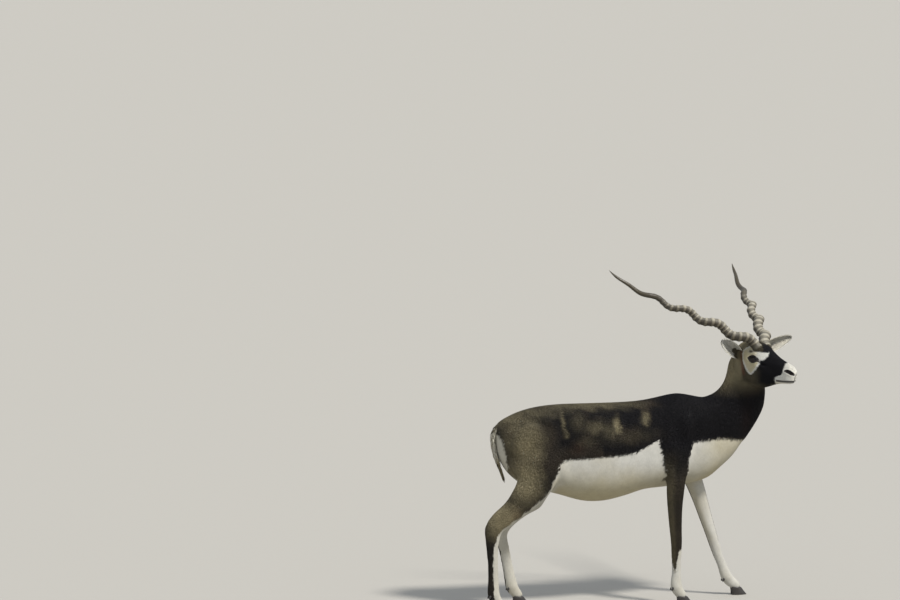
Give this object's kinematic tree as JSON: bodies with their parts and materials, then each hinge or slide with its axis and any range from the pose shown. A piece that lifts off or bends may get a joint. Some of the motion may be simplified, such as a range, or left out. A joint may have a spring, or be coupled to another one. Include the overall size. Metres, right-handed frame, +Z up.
{
  "type": "blackbuck",
  "caption": "Life-size still model of a standing blackbuck buck with its head turned to the right, long spiral horns, cloven hooves and a two-tone coat.",
  "frame": {"origin": "on the ground, under the middle of the whole animal's box", "axes": "+X forwards along the body, +Y to the animal's left, +Z up"},
  "size_m": [1.2184, 0.747, 1.2575],
  "materials": {
    "coat": "short flat fur, near black above, off-white below, sheen along the lie of the coat",
    "tail_hair": "longer tan and brown hair in thin locks",
    "horn": "ringed horn, grey-brown with paler worn ridges and a smooth dark tip",
    "hoof": "black horn with fine growth lines",
    "eye": "wet dark brown eye"
  },
  "bodies": {
    "root": {"head": "coat", "neck": "coat", "foreleg_upper_right": "coat", "foreleg_cannon_right": "coat", "foreleg_pastern_right": "coat", "forehoof_right_claw_right": "hoof", "forehoof_right_claw_left": "hoof", "foreleg_upper_left": "coat", "foreleg_cannon_left": "coat", "foreleg_pastern_left": "coat", "forehoof_left_claw_right": "hoof", "forehoof_left_claw_left": "hoof", "hindleg_upper_right": "coat", "hindleg_cannon_right": "coat", "hindleg_pastern_right": "coat", "hindhoof_right_claw_right": "hoof", "hindhoof_right_claw_left": "hoof", "hindleg_upper_left": "coat", "hindleg_cannon_left": "coat", "hindleg_pastern_left": "coat", "hindhoof_left_claw_right": "hoof", "hindhoof_left_claw_left": "hoof", "torso": "coat", "ear_right": "coat", "horn_right": "horn", "eye_right": "eye", "ear_left": "coat", "horn_left": "horn", "eye_left": "eye", "tail": "tail_hair"}
  },
  "joints": []
}
